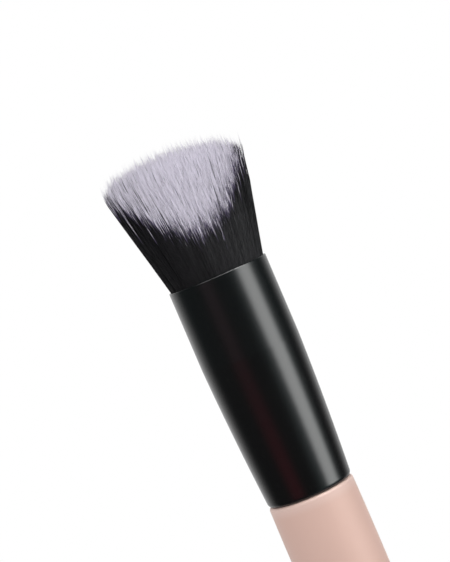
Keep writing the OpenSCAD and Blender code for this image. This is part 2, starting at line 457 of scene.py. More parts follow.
def make_sprayed_coat():
    group = bpy.data.node_groups.new("sprayed_coat", "ShaderNodeTree")
    add_sockets(group,
                [("Colour", "NodeSocketColor", (0.5, 0.5, 0.5, 1)),
                 ("Dust Colour", "NodeSocketColor", (0.6, 0.6, 0.6, 1)),
                 ("Dust", "NodeSocketFloat", 0.3), ("Drift", "NodeSocketFloat", 0.05),
                 ("Roughness", "NodeSocketFloat", 0.3)],
                [("Colour", "NodeSocketColor"), ("Roughness", "NodeSocketFloat"),
                 ("Height", "NodeSocketFloat")])
    given = new_node(group, "NodeGroupInput", (-900, 300)).outputs
    out = new_node(group, "NodeGroupOutput", (900, 0)).inputs
    where = new_node(group, "ShaderNodeTexCoord", (-900, -400)).outputs["Object"]
    speck = cells(group, where, SPECK_SCALE, (-600, 0))
    near = ramp(group, speck["Distance"], *SPECK_REACH, (-400, 0))
    pick = new_node(group, "ShaderNodeSeparateColor", (-400, -150))
    link(group, speck["Color"], pick.inputs["Color"])
    rare = calculate(group, "GREATER_THAN", pick.outputs["Red"], RARE_SPECK, (-200, -150))
    specks = calculate(group, "MULTIPLY", near, rare, (0, 0))
    dust = calculate(group, "MULTIPLY", specks, given["Dust"], (200, 0))
    cloud = calculate(group, "SUBTRACT", noise(group, where, CLOUD_SCALE, 4, (-600, -300)), 0.5,
                      (-400, -300))
    drift = calculate(group, "MULTIPLY", cloud, given["Drift"], (-200, -300))
    colour = shaded(group, given["Colour"], calculate(group, "ADD", drift, 1, (0, -300)),
                    (200, -200))
    link(group, mix_colours(group, dust, colour, given["Dust Colour"], (500, 100)),
         out["Colour"])
    link(group, calculate(group, "ADD", given["Roughness"], drift, (500, -200)),
         out["Roughness"])
    link(group, noise(group, where, PEEL_SCALE, 3, (-600, -500)), out["Height"])
    return group


sprayed_coat = make_sprayed_coat()
print("sprayed-coat group has", len(sprayed_coat.nodes), "nodes")

# %% [markdown]
# ## Handle and ferrule
# The handle is turned wood under pink satin lacquer, and the ferrule a drawn tube with a black
# coat. Both are simple round shapes, so the solids from the frame already have the right outline,
# edge rounding and smooth shading, and only need their finish. Just below the ferrule the lacquer
# is painted paler, a painted highlight for the light that the rounded shoulder catches. The lacquer
# stops at the shoulder, so the part of the handle inside the ferrule shows bare wood. Masks by
# height and distance from the axis separate the three.

# %% Helpers for finishes


def new_material(name):
    material = bpy.data.materials.new(name)
    material.use_nodes = True
    tree = material.node_tree
    return material, tree, tree.nodes["Principled BSDF"]


def set_shine(shader, **values):
    """Constants on the shader's own sockets, named with _ for a space."""
    for name, value in values.items():
        shader.inputs[name.replace("_", " ")].default_value = value


def use_group(tree, group, place=(-500, 0), **values):
    node = new_node(tree, "ShaderNodeGroup", place, node_tree=group)
    for name, value in values.items():
        socket = node.inputs[name.replace("_", " ")]
        socket.default_value = (*value, 1) if isinstance(value, tuple) else value
    return node.outputs


def bump(tree, shader, height, strength, depth):
    node = new_node(tree, "ShaderNodeBump", (-250, -300))
    node.inputs["Strength"].default_value = strength
    node.inputs["Distance"].default_value = depth
    link(tree, height, node.inputs["Height"])
    link(tree, node.outputs["Normal"], shader.inputs["Normal"])


def dress(node, material):
    """Give a solid of the frame its finish, in every material slot that it has."""
    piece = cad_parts[node]
    for slot in piece.material_slots:
        slot.material = material
    return piece


def stretched(tree, where, along, place):
    """Coordinates drawn out along the brush, for long grain and long fibres."""
    node = new_node(tree, "ShaderNodeMapping", place)
    node.inputs["Scale"].default_value = (1, 1, along)
    link(tree, where, node.inputs["Vector"])
    return node.outputs["Vector"]


print("finish helpers ready")

# %% Finish the handle
LACQUER = (0.655, 0.418, 0.336)
LACQUER_DUST = (0.80, 0.68, 0.62)
# A painted highlight: paler pink in a band just below the ferrule, where the shoulder catches the
# light.
SHOULDER_HIGHLIGHT_PINK = (0.76, 0.60, 0.54)
SHOULDER_HIGHLIGHT_BAND = (2.8 * MM, 0.5 * MM)
SHOULDER_HIGHLIGHT_SHARE = 0.35
BARE_WOOD = (0.52, 0.36, 0.20)
WOOD_LINES = (0.38, 0.24, 0.12)
WOOD_SCALE = 2200
WOOD_ROUGHNESS = 0.75
TENON_RADIUS = 7.95 * MM
SHOULDER_DEPTH = 0.2 * MM
PEEL_DEPTH = 0.02 * MM


def bare_wood(tree, where):
    """Colour of the turned tenon: long grain lines that wander a little."""
    grain = noise(tree, stretched(tree, where, 0.08, (-900, -500)), WOOD_SCALE, 4, (-700, -500))
    return mix_colours(tree, ramp(tree, grain, 0.35, 0.65, (-500, -500)), BARE_WOOD, WOOD_LINES,
                       (-300, -500))


def bare_part(tree, where, height):
    """Mask of the tenon: above the ferrule's lower end and close to the axis."""
    high = calculate(tree, "GREATER_THAN", height, FERRULE_LOW_Z - SHOULDER_DEPTH, (-700, -200))
    thin = calculate(tree, "LESS_THAN", from_axis(tree, where, (-900, -350)), TENON_RADIUS,
                     (-500, -300))
    return calculate(tree, "MULTIPLY", high, thin, (-300, -200))


def make_lacquer():
    material, tree, shader = new_material("handle_lacquer")
    coat = use_group(tree, sprayed_coat, (-500, 100), Colour=LACQUER, Dust_Colour=LACQUER_DUST,
                     Dust=0.35, Drift=0.07, Roughness=0.60)
    where = new_node(tree, "ShaderNodeTexCoord", (-1100, -300)).outputs["Object"]
    height = parts_of(tree, where, (-900, -200))["Z"]
    # Painted highlight: the colour turns paler towards the ferrule, for the light on the rounded
    # shoulder.
    near = ramp(tree, height, FERRULE_LOW_Z - SHOULDER_HIGHLIGHT_BAND[0], FERRULE_LOW_Z - SHOULDER_HIGHLIGHT_BAND[1],
                (-700, 400))
    painted_highlight = calculate(tree, "MULTIPLY", near, SHOULDER_HIGHLIGHT_SHARE, (-500, 400))
    colour = mix_colours(tree, painted_highlight, coat["Colour"], SHOULDER_HIGHLIGHT_PINK, (-350, 300))
    bare = bare_part(tree, where, height)
    link(tree, mix_colours(tree, bare, colour, bare_wood(tree, where), (-200, 100)),
         shader.inputs["Base Color"])
    wood_rough = calculate(tree, "MULTIPLY", bare, WOOD_ROUGHNESS, (-200, -100))
    link(tree, calculate(tree, "MAXIMUM", coat["Roughness"], wood_rough, (-50, -100)),
         shader.inputs["Roughness"])
    bump(tree, shader, coat["Height"], 0.12, PEEL_DEPTH)
    set_shine(shader, Specular_IOR_Level=1.0, Coat_Weight=1.0, Coat_Roughness=0.6, Coat_IOR=1.6)
    return material


print(dress("handle", make_lacquer()).name, "finished")

# %% Finish the ferrule
COAT_BLACK = (0.0034, 0.0034, 0.0036)
COAT_DUST = (0.32, 0.33, 0.33)


def make_ferrule_black():
    material, tree, shader = new_material("ferrule_black")
    coat = use_group(tree, sprayed_coat, Colour=COAT_BLACK, Dust_Colour=COAT_DUST,
                     Dust=0.06, Drift=0.05, Roughness=0.25)
    link(tree, coat["Colour"], shader.inputs["Base Color"])
    link(tree, coat["Roughness"], shader.inputs["Roughness"])
    bump(tree, shader, coat["Height"], 0.05, PEEL_DEPTH)
    set_shine(shader, Specular_IOR_Level=1.0)
    return material


print(dress("ferrule", make_ferrule_black()).name, "finished")

# %% [markdown]
# ## Hidden pieces
# Inside the ferrule sit the root of the bundle, the thread that ties it, the cast resin
# and the glue round the tenon. Nobody sees them in the finished brush, but anyone who hides the
# ferrule does, so each gets its own finish: combed fibre, wound thread and clouded amber resin.

# %% Finish the root of the bundle
ROOT_BLACK = (0.012, 0.011, 0.013)
ROOT_SHEEN = (0.05, 0.047, 0.055)
ROOT_LINES = 6000


def make_bound_fibre():
    """Packed fibres seen from the side: lines that run along the brush."""
    material, tree, shader = new_material("bound_fibre")
    where = new_node(tree, "ShaderNodeTexCoord", (-1100, 0)).outputs["Object"]
    lines = noise(tree, stretched(tree, where, 0.03, (-900, 0)), ROOT_LINES, 2, (-700, 0))
    link(tree, mix_colours(tree, ramp(tree, lines, 0.4, 0.7, (-500, 0)), ROOT_BLACK, ROOT_SHEEN,
                           (-300, 0)), shader.inputs["Base Color"])
    link(tree, calculate(tree, "ADD", calculate(tree, "MULTIPLY", lines, 0.3, (-450, -150)), 0.45,
                         (-300, -150)), shader.inputs["Roughness"])
    bump(tree, shader, lines, 0.6, 0.05 * MM)
    return material


print(dress("fibre_root", make_bound_fibre()).name, "finished")

# %% Finish the thread
THREAD = (0.70, 0.67, 0.60)
THREAD_SHADE = (0.58, 0.54, 0.47)
# Painted shade in the grooves between the turns of thread.
THREAD_GROOVE_SHADE = (0.26, 0.24, 0.21)
THREAD_PITCH = 0.4 * MM
THREAD_WANDER = 0.6
WANDER_SCALE = 150
FUZZ_SCALE = 5000


def make_thread():
    """Turns of thread: one turn to each step of height, each with its own twist, with painted shade
    in the grooves between them.
    """
    material, tree, shader = new_material("binding_thread")
    where = new_node(tree, "ShaderNodeTexCoord", (-1300, 0)).outputs["Object"]
    wander = calculate(tree, "MULTIPLY", noise(tree, where, WANDER_SCALE, 2, (-1100, -200)),
                       THREAD_WANDER * THREAD_PITCH, (-900, -200))
    height = calculate(tree, "ADD", parts_of(tree, where, (-1100, 0))["Z"], wander, (-900, 0))
    turns = calculate(tree, "FRACT", calculate(tree, "DIVIDE", height, THREAD_PITCH, (-700, 0)),
                      0, (-550, 0))
    off = calculate(tree, "ABSOLUTE", calculate(tree, "SUBTRACT", turns, 0.5, (-400, 0)), 0,
                    (-250, 0))
    # crown is 1 on each turn and 0 in the grooves between turns, where painted shade darkens the
    # thread.
    crown = ramp(tree, off, 0.5, 0.2, (-100, 0))
    fuzz = noise(tree, where, FUZZ_SCALE, 3, (-700, -400))
    body = mix_colours(tree, fuzz, THREAD, THREAD_SHADE, (-300, -300))
    link(tree, mix_colours(tree, crown, THREAD_GROOVE_SHADE, body, (50, 0)), shader.inputs["Base Color"])
    link(tree, calculate(tree, "ADD", calculate(tree, "MULTIPLY", fuzz, 0.2, (-300, -500)), 0.7,
                         (-150, -500)), shader.inputs["Roughness"])
    bump(tree, shader, crown, 0.8, 0.12 * MM)
    return material


print(dress("root_binding", make_thread()).name, "finished")

# %% Finish the resin and the glue
RESIN = (0.66, 0.54, 0.29)
RESIN_CLOUD = (0.78, 0.71, 0.50)
# Painted shade inside the small pits of the bubbles.
BUBBLE_PIT_SHADE = (0.42, 0.32, 0.15)
CLOUDS_IN_RESIN = 220
BUBBLES = 900


def make_resin():
    """Cast amber resin with faint clouds and a few small bubbles, each a shallow pit with painted
    shade in it.
    """
    material, tree, shader = new_material("resin")
    where = new_node(tree, "ShaderNodeTexCoord", (-1100, 0)).outputs["Object"]
    cloud = noise(tree, where, CLOUDS_IN_RESIN, 5, (-800, 0))
    # dent is 0 in each bubble's pit, where painted shade darkens the resin.
    dent = ramp(tree, cells(tree, where, BUBBLES, (-800, -300))["Distance"], 0.10, 0.18,
                (-600, -300))
    colour = mix_colours(tree, ramp(tree, cloud, 0.35, 0.7, (-600, 0)), RESIN, RESIN_CLOUD,
                         (-400, 0))
    link(tree, mix_colours(tree, dent, BUBBLE_PIT_SHADE, colour, (-200, 0)),
         shader.inputs["Base Color"])
    link(tree, calculate(tree, "ADD", calculate(tree, "MULTIPLY", cloud, 0.2, (-400, -200)),
                         0.08, (-200, -200)), shader.inputs["Roughness"])
    bump(tree, shader, dent, 0.4, 0.05 * MM)
    set_shine(shader, Coat_Weight=0.4, Coat_Roughness=0.05)
    return material


resin = make_resin()
for node in ("resin_plug", "tenon_glue"):
    print(dress(node, resin).name, "finished")

# %% [markdown]
# ## The shape of the head
# The head is a packed bundle that flares out of the mouth and is cut on a slant. Each fibre has a
# home in the bundle, named by where it stands in a disc of radius 1. Two rules then shape
# the whole head. One says how far the bundle has spread at each height, and the other how high
# the cut lies over each home. They are almost the same rules as in the solids, so the fine
# fibres fill the form that they replace.

# %% Rules for the flare and the cut
WALL = 0.35
FIBRE_GAP = 0.1
BUNDLE_RADIUS = MOUTH_RADIUS / MM - WALL - FIBRE_GAP
TIP_RADIUS = 14.7
SPREAD_HEIGHT = 22
CUT_TOP = 27.2
FACE_DROP = 15.9
FACE_CURVE = 2.3
SIDE_DROP = 2.6
BACK_DROP = 2.0
CREST = 0.1


def spread(height):
    """How many times wider the bundle is at this height above the mouth, in mm."""
    return 1 + (TIP_RADIUS / BUNDLE_RADIUS - 1) * np.clip(height / SPREAD_HEIGHT, 0, 1)


def cut_height(x, y):
    """Height of the cut above the mouth, in mm, over a home in the unit disc."""
    front = np.clip((CREST - y) / (1 + CREST), 0, 1)
    back = np.clip((y - CREST) / (1 - CREST), 0, 1)
    return CUT_TOP - FACE_DROP * front ** FACE_CURVE - BACK_DROP * back ** 2 - SIDE_DROP * x * x


print(f"cut: {cut_height(0, -1):.1f} mm high in front, {cut_height(0, CREST):.1f} mm at the crest,",
      f"{cut_height(0, 1):.1f} mm at the back, {cut_height(1, 0):.1f} mm at the sides")

# %% [markdown]
# ## Where the fibres stand
# A bundle like this holds tens of thousands of fibres, packed evenly at the ferrule. A sunflower
# spiral spreads points evenly over a disc, and a little jitter hides the spiral. Real
# fibres never stay so even: static and handling pull them into small locks that lean together and
# end at slightly different heights. So each fibre is also told which lock it belongs to.

# %% Place the fibres and their locks
FIBRES = 30000
LOCKS = 3400
LOCK_REACH = 0.98
GOLDEN = math.pi * (3 - math.sqrt(5))
JITTER = 0.45


def sunflower(count, reach=1.0):
    order = np.arange(count)
    radius = reach * np.sqrt((order + 0.5) / count)
    jitter = JITTER * math.sqrt(math.pi / count)
    x = radius * np.cos(order * GOLDEN) + rng.normal(0, jitter, count)
    y = radius * np.sin(order * GOLDEN) + rng.normal(0, jitter, count)
    over = np.maximum(np.hypot(x, y) / reach, 1)
    return x / over ** 2, y / over ** 2


def nearest_lock(x, y, lock_x, lock_y):
    tree = kdtree.KDTree(len(lock_x))
    for i, place in enumerate(zip(lock_x, lock_y)):
        tree.insert((*place, 0), i)
    tree.balance()
    return np.array([tree.find((*place, 0))[1] for place in zip(x, y)])


home_x, home_y = sunflower(FIBRES)
lock_x, lock_y = sunflower(LOCKS, LOCK_REACH)
lock = nearest_lock(home_x, home_y, lock_x, lock_y)
print(FIBRES, "fibres in", len(np.unique(lock)), "locks")

# %% [markdown]
# ## The cut over each fibre, and the sides
# No head stays as even as its rule. The cut settles a little, hangs lower at the left corner,
# and each lock ends slightly above or below its neighbours. What differs from lock to lock is
# drawn once for the lock, so its fibres move together. Both sides of this head are
# black almost to the top, so a mask says how far each fibre belongs to a side.

# %% Find the cut over each fibre and the sides of the head
LOCK_RISE = 0.15
LOCK_DYE = 0.32
SETTLE = 0.4
LOPSIDED = 0.5
CORNER_DROP = 0.9
CORNER_FROM = (0.75, 1)
DEEPER = 3.0
DEEP_FROM = (0.05, 0.20)
SIDE_FROM = (0.84, 0.97)
SIDE_TILT = 0.04
SIDE_BLUR = 0.03


def smooth_step(value, low, high):
    t = np.clip((value - low) / (high - low), 0, 1)
    return t * t * (3 - 2 * t)


lock_rise = rng.normal(0, LOCK_RISE, LOCKS)[lock]
lock_dye = rng.normal(0, LOCK_DYE, LOCKS)[lock]
from_middle = np.hypot(home_x, home_y)
deeper = DEEPER * smooth_step(1 - from_middle, *DEEP_FROM)
cut = cut_height(home_x, home_y) - SETTLE - LOPSIDED * home_x
cut = cut - CORNER_DROP * smooth_step(-home_x, *CORNER_FROM)
side = np.abs(home_x) + SIDE_TILT * home_x + rng.normal(0, SIDE_BLUR, FIBRES)
side = smooth_step(side, *SIDE_FROM)
print(f"{(side > 0.5).sum()} fibres stand at the sides")

# %% [markdown]
# ## Black fibres and white-tipped fibres
# Two kinds of fibre are mixed all through the bundle. The black ones end a little below the cut,
# and the white-tipped ones stand out past them, so the cut shows white and the sides show
# black. A few hairs on the rim have worked loose at either side, and get room to stand off.

# %% Choose each fibre's kind and the loose hairs
BLACK_SHARE = 0.30
SIDE_BLACK = 0.75
LOOSE_SHARE = (0.10, 0.30)
LOOSE_ROOM = (0.25, 0.8)
LOOSE_PART = (0.6, 0.9)
LOOSE_RIM = 0.93

black = rng.random(FIBRES) < BLACK_SHARE + (1 - BLACK_SHARE) * SIDE_BLACK * side
loose_room = np.zeros(FIBRES)
for sign, share, room in zip((-1, 1), LOOSE_SHARE, LOOSE_ROOM):
    here = share * smooth_step(sign * home_x, *LOOSE_PART) * (from_middle > LOOSE_RIM)
    loose_room = np.where(rng.random(FIBRES) < here, room, loose_room)
print(f"{black.sum()} black and {(~black).sum()} white-tipped fibres,",
      f"{(loose_room > 0).sum()} of them loose")

# %% [markdown]
# ## Where each fibre ends
# The filaments end at slightly different heights, so the cut looks soft. Most black ones end
# well below it, and further down still inside the bundle. Some reach up among the white as dark
# flecks, mostly on the left and at the sides. A very few strays stand out past the cut.

# %% Choose the tips
BLACK_SETBACK = 2.6
SETBACK_SPREAD = 1.1
LEFT_FROM = (0.2, 0.8)
FLECK_SHARE = 0.08
LEFT_FLECKS = 0.25
SIDE_FLECKS = 0.8
FLECK_SETBACK = 0.7
FLECK_SPREAD = 1.0
STRAY_SHARE = 0.004
LEFT_STRAYS = 0.03
STRAY_REACH = (2.0, 6.0)
BELOW_CREST = 1
TIP_SETBACK = 1.3
TIP_SPREAD = 1.1
TIP_MOST = 1.4

left_part = smooth_step(-home_x, *LEFT_FROM)
reaches_up = rng.random(FIBRES) < FLECK_SHARE + LEFT_FLECKS * left_part + SIDE_FLECKS * side
setback = np.where(reaches_up, FLECK_SETBACK + rng.exponential(FLECK_SPREAD, FIBRES),
                   BLACK_SETBACK + np.abs(rng.normal(0, SETBACK_SPREAD, FIBRES)))
stray = black & (rng.random(FIBRES) < STRAY_SHARE + LEFT_STRAYS * left_part)
past = np.minimum(rng.exponential(STRAY_REACH[0], FIBRES), STRAY_REACH[1])
setback = np.where(stray, -past, setback)
settled = rng.normal(TIP_SETBACK, TIP_SPREAD, FIBRES).clip(-TIP_MOST, None)
below = np.where(black, setback + np.where(reaches_up | stray, 0, deeper), settled)
tip = cut + lock_rise - below
tip = np.where(stray, np.minimum(tip, cut_height(home_x, CREST) - BELOW_CREST), tip)
print(f"tips from {tip.min():.1f} to {tip.max():.1f} mm above the mouth,",
      f"{stray.sum()} strays")

# %% [markdown]
# ## Where the dye stops
# The white filaments are dyed black from the ferrule up, and the dye stops at its own height on
# each, which gives the streaky edge. It stops lower down inside the bundle, so a gap between
# tips shows more white and not a dark hole. Some filaments are white for longer, and show as
# pale streaks that run down into the black.

# %% Choose the dye line
WHITE_LENGTH = 2.9
DYE_TILT = 0.9
DYE_SPREAD = 0.9
LONG_WHITE_SHARE = 0.10
LONG_WHITE = (1.7, 4.5)
SIDE_LONG_SHARE = 0.20
SIDE_LONG_WHITE = (2, 8)
DYE_LOWEST = 3.5
LEAST_WHITE = 0.8

longer = np.minimum(rng.exponential(LONG_WHITE[0], FIBRES), LONG_WHITE[1])
extra = np.where(rng.random(FIBRES) < LONG_WHITE_SHARE, longer, 0)
long_at_side = rng.random(FIBRES) < SIDE_LONG_SHARE * side
extra = np.where(long_at_side, rng.uniform(*SIDE_LONG_WHITE, FIBRES), extra)
dye = cut - WHITE_LENGTH + DYE_TILT * home_x - deeper + lock_dye
dye = dye + rng.normal(0, DYE_SPREAD, FIBRES) - extra
dye = np.clip(dye, DYE_LOWEST, tip - LEAST_WHITE)
print(f"dye lines from {dye[~black].min():.1f} to {dye[~black].max():.1f} mm above the mouth")

# %% [markdown]
# ## How each fibre leans and bends
# A lock draws its fibres together and leans as one, mostly a little to the left. Each fibre adds
# a small lean, bend and wave of its own. One in eight or so lies across its neighbours, and a
# few fly away from the bundle. At the back the fibres stay more even.

# %% Draw each fibre's lean, bend and wave
LOCK_PULL = 0.30
EVEN_BACK = 0.6
EVEN_FROM = (-0.3, 0.4)
LOCK_LEAN = 0.15
LEFTWARD = 0.12
OWN_LEAN = 0.5
BEND = 0.15
CROSSING_SHARE = 0.12
CROSSING = 0.45
WAVE = 0.07
WAVES = (3, 9)
FLYAWAY_SHARE = 0.006
FLYAWAY_ROOM = 0.5

pull = rng.uniform(0.0, LOCK_PULL, LOCKS)[lock]
pull = pull * (1 - EVEN_BACK * smooth_step(home_y, *EVEN_FROM))
lean = rng.normal((-LEFTWARD, 0), LOCK_LEAN, (LOCKS, 2))[lock]
lean = lean + rng.normal(0, OWN_LEAN * LOCK_LEAN, (FIBRES, 2))
bend = rng.normal(0, BEND, (FIBRES, 2))
crossing = rng.random(FIBRES) < CROSSING_SHARE
lean[crossing] += rng.normal(0, CROSSING, (int(crossing.sum()), 2))
bend[crossing] += rng.normal(0, CROSSING, (int(crossing.sum()), 2))
wave = rng.normal(0, WAVE, (FIBRES, 2))
waves = rng.uniform(*WAVES, (FIBRES, 1))
phase = rng.uniform(0, 2 * math.pi, (FIBRES, 1))
fly_room = np.where(rng.random(FIBRES) < FLYAWAY_SHARE, FLYAWAY_ROOM, 0) * rng.random(FIBRES)
fly_room = np.where(loose_room > 0, loose_room * rng.random(FIBRES), fly_room)
print(f"{crossing.sum()} fibres cross others, {(fly_room > 0).sum()} stand off the bundle")

# %% [markdown]
# ## From homes to strands
# A fibre follows the flare from its home to its tip and takes its own lean and bend on the way.
# Simulated hair could do that too, but it wouldn't keep the head's outline, so the path is
# written as a rule. The rule ends with a limit: nothing goes further out than the solids do,
# apart from a hair's room. The right side is pressed in a little, as the photograph shows.

# %% Trace the strands
PULL_POWER = 1.6
WAVE_STARTS = 4
FLY_GAIN = 2
STRAND_ROOM = 0.12
ROOM_FULL_AT = 15
ROOM_POWER = 1.5
FRONT_TUCK = 0.065
PRESSED_IN = 0.6
PRESSED_FROM = (13, 20)


def trace(rows, heights):
    """Points of the chosen fibres, (fibre, knot, xyz) in mm, at these heights over the mouth."""
    along = np.clip(heights / tip[rows, None], 0, 1)
    drawn = pull[rows, None] * along ** PULL_POWER
    wide = BUNDLE_RADIUS * spread(heights)
    x = wide * (home_x[rows, None] * (1 - drawn) + lock_x[lock[rows], None] * drawn)
    y = wide * (home_y[rows, None] * (1 - drawn) + lock_y[lock[rows], None] * drawn)
    sway = np.sin(np.pi * along)
    ripple = np.sin(waves[rows] * along + phase[rows]) * np.minimum(along * WAVE_STARTS, 1)
    x = x + lean[rows, :1] * along ** 2 + bend[rows, :1] * sway + wave[rows, :1] * ripple
    y = y + lean[rows, 1:] * along ** 2 + bend[rows, 1:] * sway + wave[rows, 1:] * ripple
    fly = fly_room[rows, None] * along ** 2
    out = fly / np.maximum(np.hypot(x, y), 1)
    x, y = x * (1 + FLY_GAIN * out), y * (1 + FLY_GAIN * out)
    most = wide + STRAND_ROOM * np.clip(heights / ROOM_FULL_AT, 0, 1) ** ROOM_POWER + fly
    most = most * (1 - FRONT_TUCK * np.clip(-y / wide, 0, 1) ** 2)
    over = np.maximum(np.hypot(x, y) / most, 1)
    x, y = x / over, y / over
    x = x - PRESSED_IN * np.clip(x / wide, 0, 1) ** 2 * smooth_step(heights, *PRESSED_FROM)
    return np.stack([x, y, heights + MOUTH_Z / MM], axis=-1)


ends = trace(np.arange(FIBRES), tip[:, None])
print("furthest tips, in mm:", np.round(np.abs(ends).max(axis=(0, 1)), 2))

# %% [markdown]
# ## Which way the head faces
# White fibres let light through and pass it on, so a real white head looks softer than
# thousands of small hard tubes would. A cheap way to get that look is to turn the tubes' shading
# normals part of the way towards where the head as a whole faces: out of the cut for the
# tips and sideways for the outer fibres. The black parts keep their own normals and their glints.

# %% Work out where the head faces over each fibre
CUT_STEP = 0.01
SIDEWAYS = 0.9
MORE_SIDEWAYS = 1.4
SIDE_PART = (0.75, 1.0)


def facing(x, y):
    """Unit vectors out of the head, over homes in the unit disc."""
    slope_x = (cut_height(x + CUT_STEP, y) - cut_height(x - CUT_STEP, y)) / (2 * CUT_STEP)
    slope_y = (cut_height(x, y + CUT_STEP) - cut_height(x, y - CUT_STEP)) / (2 * CUT_STEP)
    out = np.stack([-slope_x / TIP_RADIUS, -slope_y / TIP_RADIUS, np.ones_like(x)], axis=-1)
    out /= np.linalg.norm(out, axis=-1, keepdims=True)
    sideways = SIDEWAYS + MORE_SIDEWAYS * smooth_step(np.hypot(x, y), *SIDE_PART)
    out = out + np.stack([x, y, np.zeros_like(x)], axis=-1) * sideways[:, None]
    return out / np.linalg.norm(out, axis=-1, keepdims=True)


outward = facing(home_x, home_y)
print("the head faces", np.round(outward.mean(axis=0), 2), "on average")

# %% [markdown]
# ## The mesh of a strand
# Each strand is a thin three-sided tube that runs to a point, because hair ends have no flat
# face. It starts inside the ferrule, where a cap closes it. Its map gives every face two
# numbers: how light this fibre is, and how far it is along the dye. The material reads only
# those, so thousands of strands can share one small map.

# %% Shape one strand
SIDES = 3
SOFT_FROM = (0.35, 0.65)


def strand_faces(knots):
    """Triangles of one strand: a tube, its point and the cap at its root."""
    faces = []
    for k in range(knots - 2):
        for s in range(SIDES):
            a, b = SIDES * k + s, SIDES * k + (s + 1) % SIDES
            faces += [(a, b, b + SIDES), (a, b + SIDES, a + SIDES)]
    last = SIDES * (knots - 2)
    faces += [(last + s, last + (s + 1) % SIDES, last + SIDES) for s in range(SIDES)]
    return np.array(faces + [tuple(range(SIDES))[::-1]])


def tube_places(points, thickness, around):
    """The corners of each strand's rings, and then its point."""
    rings = points[:, :-1, None] + thickness[:, :-1, None, None] * around[:, None]
    return np.concatenate([rings.reshape(len(points), -1, 3), points[:, -1:]], axis=1)


def tube_normals(around, tone, faced, softness):
    """Each strand's own normals, turned towards where the head faces on its white part."""
    soft = softness * smooth_step(tone, *SOFT_FROM)[..., None]
    turned = around[:, None] * (1 - soft[:, :-1, None]) + faced[:, None, None] * soft[:, :-1, None]
    tops = (1 - soft[:, -1:]) * np.array([0, 0, 1.0]) + soft[:, -1:] * faced[:, None]
    normals = np.concatenate([turned.reshape(len(tone), -1, 3), tops], axis=1).reshape(-1, 3)
    return normals / np.linalg.norm(normals, axis=-1, keepdims=True)


print("one strand with 8 knots has", len(strand_faces(8)), "triangles")

# %% Map and build many strands at once
FIBRE_MAP = "OFBake"
MAP_WIDTH = 0.006
MAP_EDGE = 0.001


def fibre_map(shade, tone, faces):
    """Lightness and place along the dye for each corner, spread a little so no face is flat."""
    count, knots = tone.shape
    corner = MAP_WIDTH * (np.arange(SIDES) - 1)
    map_x = np.broadcast_to(shade[:, None, None] + corner, (count, knots - 1, SIDES))
    map_y = np.broadcast_to(tone[:, :-1, None], (count, knots - 1, SIDES))
    rings = np.stack([map_x, map_y], axis=-1).reshape(count, -1, 2)
    points = np.stack([shade, tone[:, -1]], axis=-1)[:, None]
    spots = np.concatenate([rings, points], axis=1).reshape(-1, 2)
    mapped = spots[faces].reshape(count, -1, SIDES, 2)
    mapped[:, -1, 1, 1] -= MAP_WIDTH
    return np.clip(mapped, MAP_EDGE, 1 - MAP_EDGE)


def triangle_mesh(name, places, faces):
    mesh = bpy.data.meshes.new(name)
    mesh.vertices.add(len(places))
    mesh.vertices.foreach_set("co", (places * MM).astype(np.float32).ravel())
    mesh.loops.add(faces.size)
    mesh.loops.foreach_set("vertex_index", faces.astype(np.int32).ravel())
    mesh.polygons.add(len(faces))
    mesh.polygons.foreach_set("loop_start", np.arange(0, faces.size, 3, dtype=np.int32))
    mesh.polygons.foreach_set("use_smooth", np.ones(len(faces), dtype=bool))
    mesh.update(calc_edges=True)
    return mesh


def strand_mesh(name, points, thickness, shade, tone, faced, softness):
    count, knots = tone.shape
    angle = rng.uniform(0, 2 * math.pi, (count, 1)) + np.arange(SIDES) * 2 * math.pi / SIDES
    around = np.stack([np.cos(angle), np.sin(angle), np.zeros_like(angle)], axis=-1)
    places = tube_places(points, thickness, around)
    first = places.shape[1] * np.arange(count)
    faces = (strand_faces(knots)[None] + first[:, None, None]).reshape(-1, 3)
    mesh = triangle_mesh(name, places.reshape(-1, 3), faces)
    uv = mesh.uv_layers.new(name=FIBRE_MAP)
    uv.data.foreach_set("uv", fibre_map(shade, tone, faces).astype(np.float32).ravel())
    mesh.validate()
    mesh.normals_split_custom_set_from_vertices(tube_normals(around, tone, faced, softness))
    return mesh


print(f"a fibre takes {2 * MAP_WIDTH} of the map's width")

# %% Add a piece of strands to the scene


def add_strands(name, node, slot, material, *shape):
    mesh = strand_mesh(name, *shape)
    mesh.materials.append(material)
    piece = bpy.data.objects.new(name, mesh)
    bpy.context.scene.collection.objects.link(piece)
    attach(piece, "root")
    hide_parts(node)
    print(name, len(shape[3]), "strands,", len(mesh.polygons), "triangles")


print("every strand rides on the body called root")

# %% [markdown]
# ## The fibres' finish
# The fibres are fine synthetic filaments with a soft shine. The white ones are dyed black for most
# of their length, with a short violet-grey change from black to white. One shared group turns
# the two numbers of the map into a colour, and each kind of fibre gives it its own root,
# middle and tip colours.

# %% Make the dyed-fibre group and both finishes
DYE_LOW = (0.27, 0.50)
DYE_HIGH = (0.50, 0.74)
LIGHT_IS_ROUGHER = 0.12


